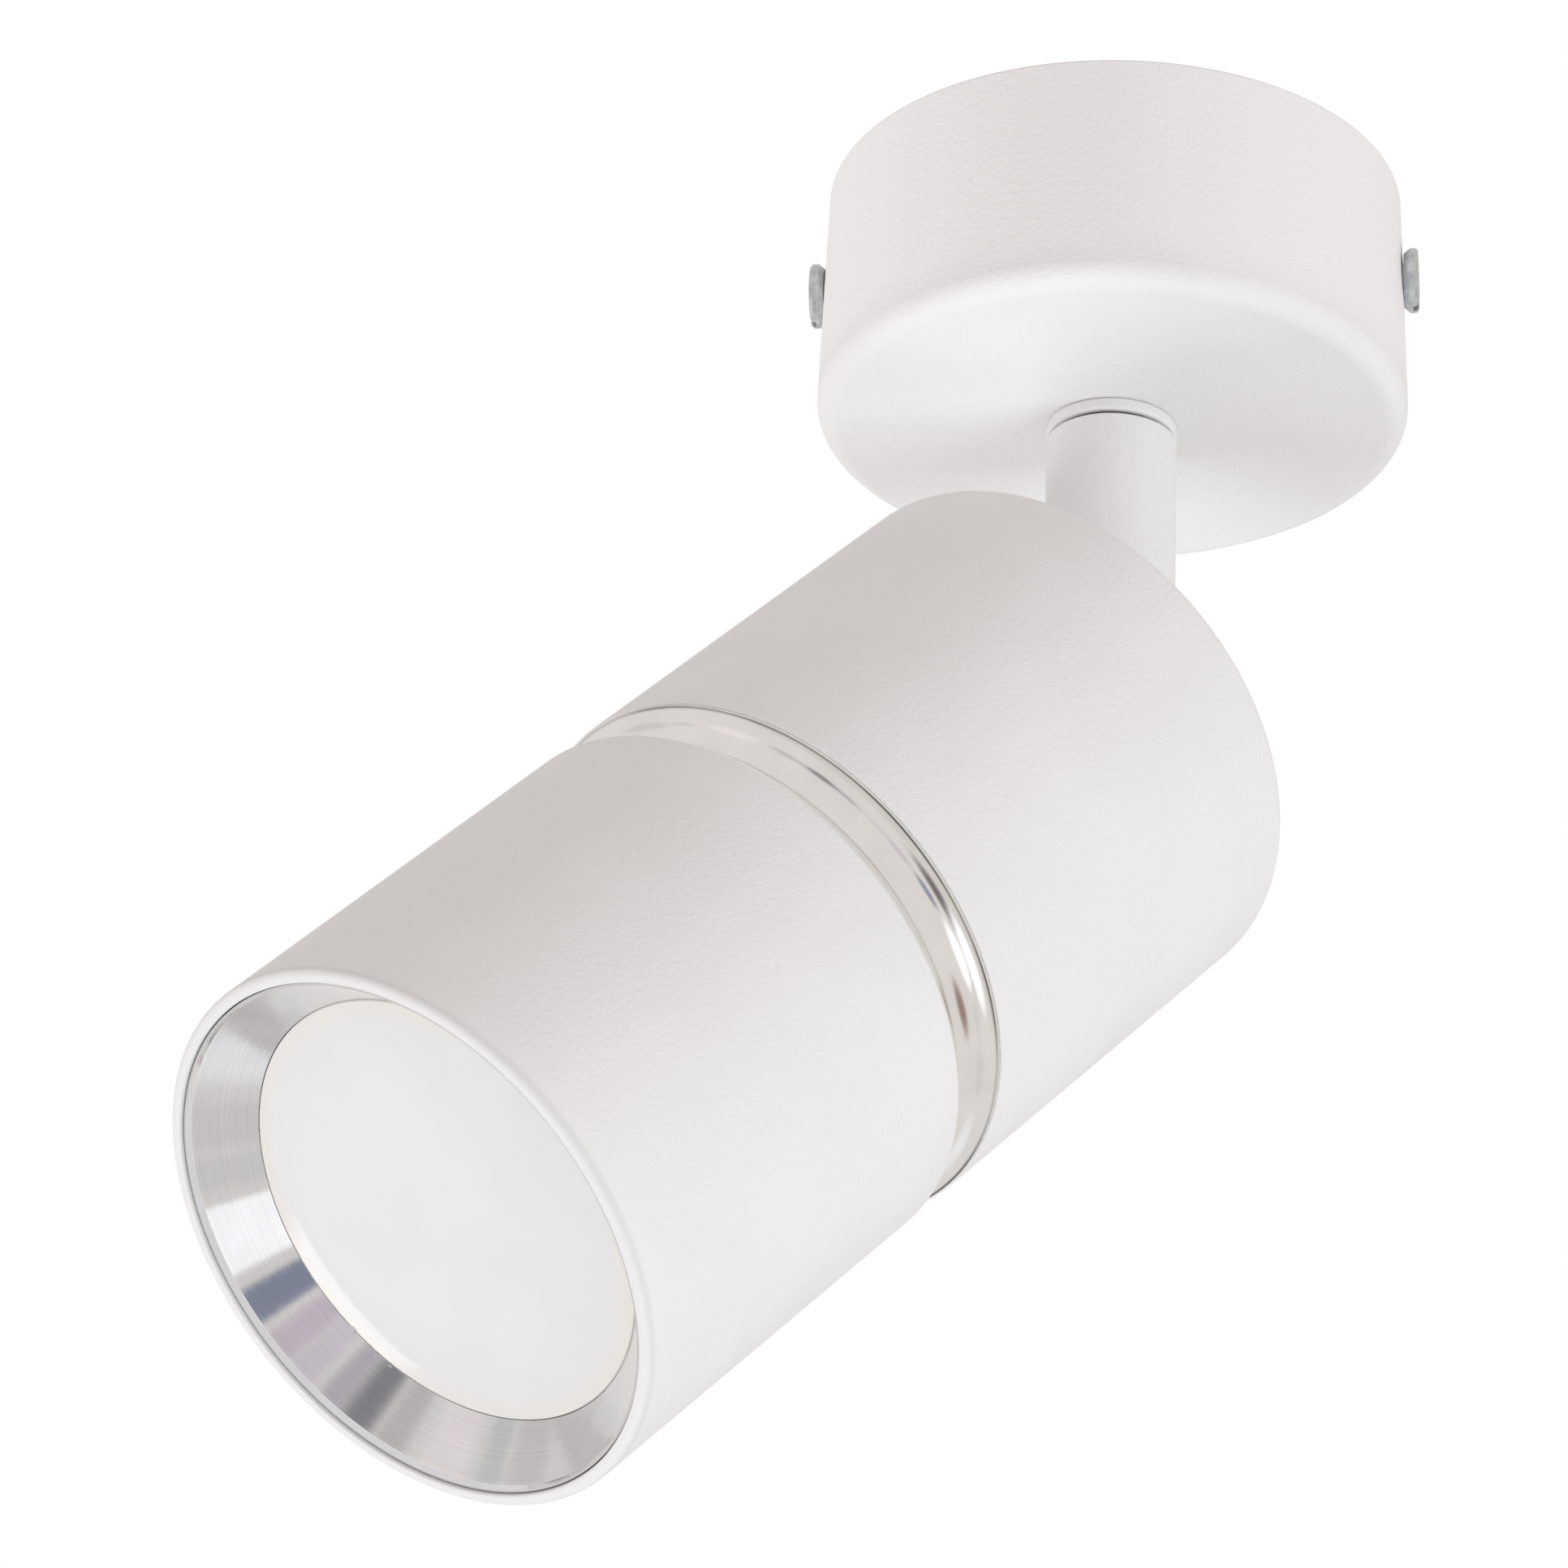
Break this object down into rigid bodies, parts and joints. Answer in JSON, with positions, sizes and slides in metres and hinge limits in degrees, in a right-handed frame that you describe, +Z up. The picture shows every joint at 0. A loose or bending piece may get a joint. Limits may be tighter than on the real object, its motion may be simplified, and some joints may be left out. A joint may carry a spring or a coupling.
{
  "type": "ceiling spotlight",
  "caption": "Surface mounted ceiling spotlight: a round canopy, a swivelling stem and a tilting tubular head with a chrome waist ring, a bright reflector ring and a milky lamp.",
  "frame": {"origin": "centre of the canopy's mouth, on the ceiling plane, which is also the centre of the bracket's two slots", "axes": "+Z up into the ceiling, along the canopy's and stem's axis; X through the two side screws and the two ceiling slots; the beam points down and towards -X -Y at rest"},
  "size_m": [0.1234, 0.1175, 0.17],
  "materials": {
    "white_coat": "fine textured powder coat, low sheen",
    "zinc_plate": "bright zinc plate",
    "zinc_screw": "zinc plated, slightly mottled",
    "spring_steel": "plain spring steel",
    "brass": "plain brass",
    "nylon": "natural nylon",
    "terminal_plastic": "moulded polyamide",
    "lead_brown": "silicone lead, brown",
    "lead_blue": "silicone lead, blue",
    "lead_green": "silicone lead, green and yellow",
    "chrome": "polished chrome plate",
    "ceramic": "unglazed steatite",
    "glass_sleeve": "woven glass sleeve",
    "bright_aluminium": "lathe turned, bright, fine circular lines",
    "lamp_shell": "moulded, warm white",
    "diffuser": "milky, soft sheen"
  },
  "bodies": {
    "canopy": {"ceiling_canopy": "white_coat", "mounting_bracket": "zinc_plate", "side_screws": "zinc_screw", "terminal_block": "terminal_plastic", "terminal_screws": "brass", "block_screw": "zinc_screw", "earth_screw": "brass", "earth_washer": "zinc_plate", "swivel_bush": "nylon", "stem_collar": "white_coat", "slip_washer": "nylon", "swivel_stop_pin": "zinc_plate", "live_lead": "lead_brown", "earth_lead": "lead_green", "neutral_lead": "lead_blue"},
    "stem": {"stem_tube": "white_coat", "swivel_nipple": "zinc_plate", "stop_washer": "zinc_plate", "disc_spring": "spring_steel", "swivel_nut": "zinc_plate", "nipple_edge_bush": "nylon", "knuckle_upper": "white_coat", "tilt_stop_pin": "spring_steel", "cross_screw": "zinc_screw", "cross_nut": "zinc_screw", "friction_washer": "nylon"},
    "head": {"knuckle_lower": "white_coat", "rear_housing": "white_coat", "cove_ring": "chrome", "front_housing": "white_coat", "lamp_carrier": "zinc_plate", "lock_washer": "spring_steel", "head_nut": "zinc_plate", "lamp_holder": "ceramic", "holder_contacts": "brass", "holder_screws": "zinc_screw", "lead_sleeve": "glass_sleeve"},
    "trim": {"reflector_ring": "bright_aluminium", "reflector_springs": "spring_steel"},
    "lamp": {"lamp_body": "lamp_shell", "lamp_diffuser": "diffuser", "lamp_base": "lamp_shell", "lamp_pins": "brass"}
  },
  "joints": [
    {"name": "stem_swivel", "type": "hinge", "parent": "canopy", "child": "stem", "pos_m": [0, 0, -0.02975], "axis": [0, 0, 1], "range_deg": [-162, 162]},
    {"name": "head_tilt", "type": "hinge", "parent": "stem", "child": "head", "pos_m": [0, 0, -0.06153], "axis": [-0.6756, 0.7373, 0], "range_deg": [-44.6, 45.4]},
    {"name": "reflector_pull", "type": "slide", "parent": "head", "child": "trim", "axis": [-0.5177, -0.4744, -0.712], "range_m": [0, 0.02]},
    {"name": "lamp_twist", "type": "hinge", "parent": "head", "child": "lamp", "pos_m": [0, 0, -0.06153], "axis": [-0.5177, -0.4744, -0.712], "range_deg": [0, 20]}
  ]
}
